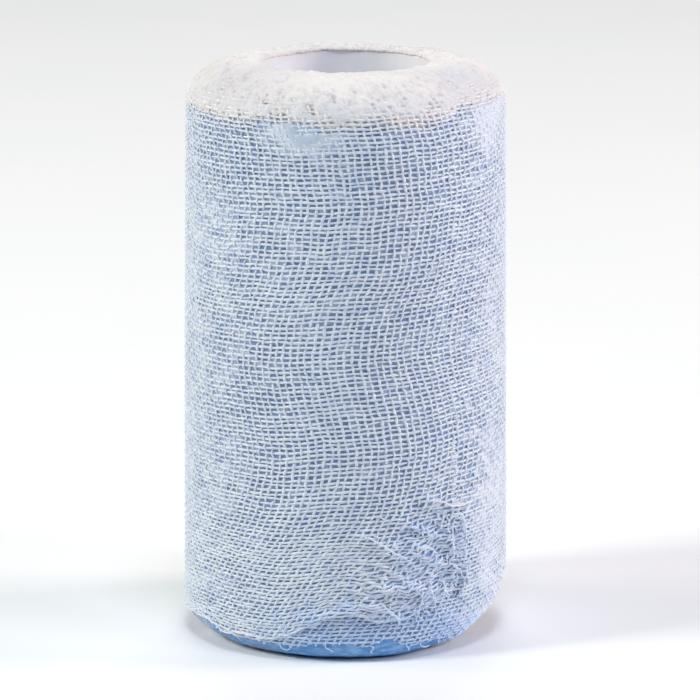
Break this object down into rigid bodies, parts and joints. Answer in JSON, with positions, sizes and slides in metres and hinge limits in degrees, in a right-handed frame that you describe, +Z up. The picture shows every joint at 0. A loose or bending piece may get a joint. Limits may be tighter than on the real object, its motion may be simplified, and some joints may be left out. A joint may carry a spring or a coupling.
{
  "type": "zinc paste bandage roll",
  "caption": "Wound roll of open gauze bandage soaked in zinc paste, on a plastic core, standing on end with its cut end showing.",
  "frame": {"origin": "on the roll's axis, at the surface that it stands on", "axes": "+Z up along the roll's axis; -Y is the side where the cut end of the cloth shows, and +X is to the right seen from there"},
  "size_m": [0.0566, 0.0577, 0.1],
  "materials": {
    "pasted_gauze": "matte",
    "core_plastic": "satin"
  },
  "bodies": {
    "root": {"wound_roll": "pasted_gauze", "loose_end": "pasted_gauze", "core_tube": "core_plastic"}
  },
  "joints": []
}
